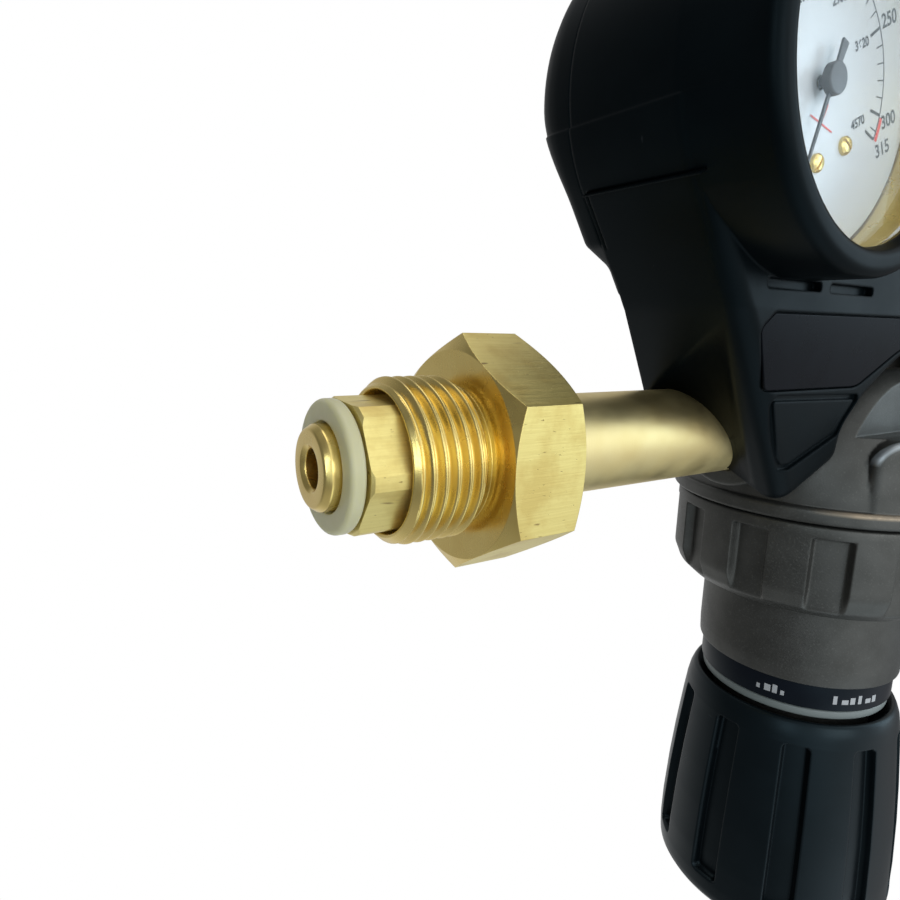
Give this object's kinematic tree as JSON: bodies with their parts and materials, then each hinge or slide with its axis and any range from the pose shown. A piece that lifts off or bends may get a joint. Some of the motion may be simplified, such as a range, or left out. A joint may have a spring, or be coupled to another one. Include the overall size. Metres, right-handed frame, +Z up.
{
  "type": "gas pressure regulator",
  "caption": "Gas cylinder pressure regulator: a brass inlet with a captive hexagon nut, gauges under a black cover, a hose tail and an adjusting knob that points down.",
  "frame": {"origin": "middle of the flat end of the adjusting knob", "axes": "+Z up through the knob, bonnet and body; the inlet points to -X, the outlet to +X and the gauges face -Y"},
  "size_m": [0.2285, 0.0616, 0.1947],
  "materials": {
    "brass": "satin, turned",
    "dark_casting": "dark satin casting",
    "black_plastic": "fine satin moulding",
    "label": "smooth bare label plate",
    "nylon": "milky satin",
    "pale_plastic": "pale green grey, satin",
    "clear_plastic": "clear",
    "dial": "silver white print base",
    "rubber": "matt",
    "steel": "satin",
    "sintered_bronze": "matt"
  },
  "bodies": {
    "regulator": {"inlet_nipple": "brass", "inlet_washer": "nylon", "inlet_stem": "brass", "inlet_filter": "sintered_bronze", "body": "dark_casting", "valve_seat": "brass", "valve_plug": "brass", "valve_spring": "steel", "diaphragm": "rubber", "ring_nut": "dark_casting", "bonnet": "dark_casting", "thrust_washer": "steel", "adjusting_spring": "steel", "marking_band": "black_plastic", "light_ring": "pale_plastic", "left_gauge_case": "brass", "left_gauge_socket": "brass", "left_gauge_bourdon_tube": "sintered_bronze", "left_gauge_movement": "brass", "left_gauge_dial": "dial", "left_gauge_crystal": "clear_plastic", "right_gauge_case": "brass", "right_gauge_socket": "brass", "right_gauge_bourdon_tube": "sintered_bronze", "right_gauge_movement": "brass", "right_gauge_dial": "dial", "right_gauge_crystal": "clear_plastic", "front_cover": "black_plastic", "rear_cover": "black_plastic", "label_plate": "label", "cover_screw_1": "steel", "cover_screw_2": "steel", "cover_screw_3": "steel", "cover_screw_4": "steel", "outlet_stem": "brass", "hose_tail": "brass", "relief_body": "brass", "relief_spring": "steel"},
    "adjusting_knob": {"knob": "black_plastic", "knob_cap": "black_plastic", "knob_screw": "steel", "spindle": "steel"},
    "carrier": {"spring_carrier": "brass"},
    "plates": {"diaphragm_plate": "brass", "spring_plate": "steel", "push_pin": "steel"},
    "poppet": {"valve_poppet": "steel"},
    "relief": {"relief_poppet": "brass"},
    "nut": {"inlet_nut": "brass"},
    "hose_nut": {"outlet_nut": "brass"},
    "left_pointer": {"left_gauge_pointer": "black_plastic"},
    "right_pointer": {"right_gauge_pointer": "black_plastic"}
  },
  "joints": [
    {"name": "knob_turn", "type": "hinge", "parent": "regulator", "child": "adjusting_knob", "pos_m": [0, 0, 0], "axis": [0, 0, 1], "range_deg": [0, 1440]},
    {"name": "carrier_rise", "type": "slide", "parent": "regulator", "child": "carrier", "axis": [0, 0, 1], "range_m": [0, 0.008], "deforming": ["adjusting_spring"]},
    {"name": "diaphragm_lift", "type": "slide", "parent": "regulator", "child": "plates", "axis": [0, 0, 1], "range_m": [0, 0.0008], "deforming": ["diaphragm"]},
    {"name": "valve_open", "type": "slide", "parent": "regulator", "child": "poppet", "axis": [0, 0, 1], "range_m": [0, 0.0008], "stiffness_N_per_m": 400, "springref_m": -0.002, "deforming": ["valve_spring"]},
    {"name": "relief_open", "type": "slide", "parent": "regulator", "child": "relief", "axis": [0, 0, 1], "range_m": [0, 0.001], "stiffness_N_per_m": 1000, "springref_m": -0.002, "deforming": ["relief_spring"]},
    {"name": "inlet_nut_turn", "type": "hinge", "parent": "regulator", "child": "nut", "pos_m": [-0.1, 0, 0.113], "axis": [1, 0, 0], "continuous": true},
    {"name": "outlet_nut_turn", "type": "hinge", "parent": "regulator", "child": "hose_nut", "pos_m": [0.07, 0, 0.113], "axis": [1, 0, 0], "continuous": true},
    {"name": "left_pointer_turn", "type": "hinge", "parent": "regulator", "child": "left_pointer", "pos_m": [-0.0522, -0.02, 0.1667], "axis": [0, 1, 0], "range_deg": [0, 270], "stiffness_Nm_per_rad": 0.0002},
    {"name": "right_pointer_turn", "type": "hinge", "parent": "regulator", "child": "right_pointer", "pos_m": [0.0522, -0.02, 0.1667], "axis": [0, 1, 0], "range_deg": [0, 270], "stiffness_Nm_per_rad": 0.0002}
  ],
  "couplings": [
    {"joint": "carrier_rise", "follows": "knob_turn", "m_per_rad": 0.0003183},
    {"joint": "valve_open", "follows": "diaphragm_lift", "ratio": 1}
  ]
}
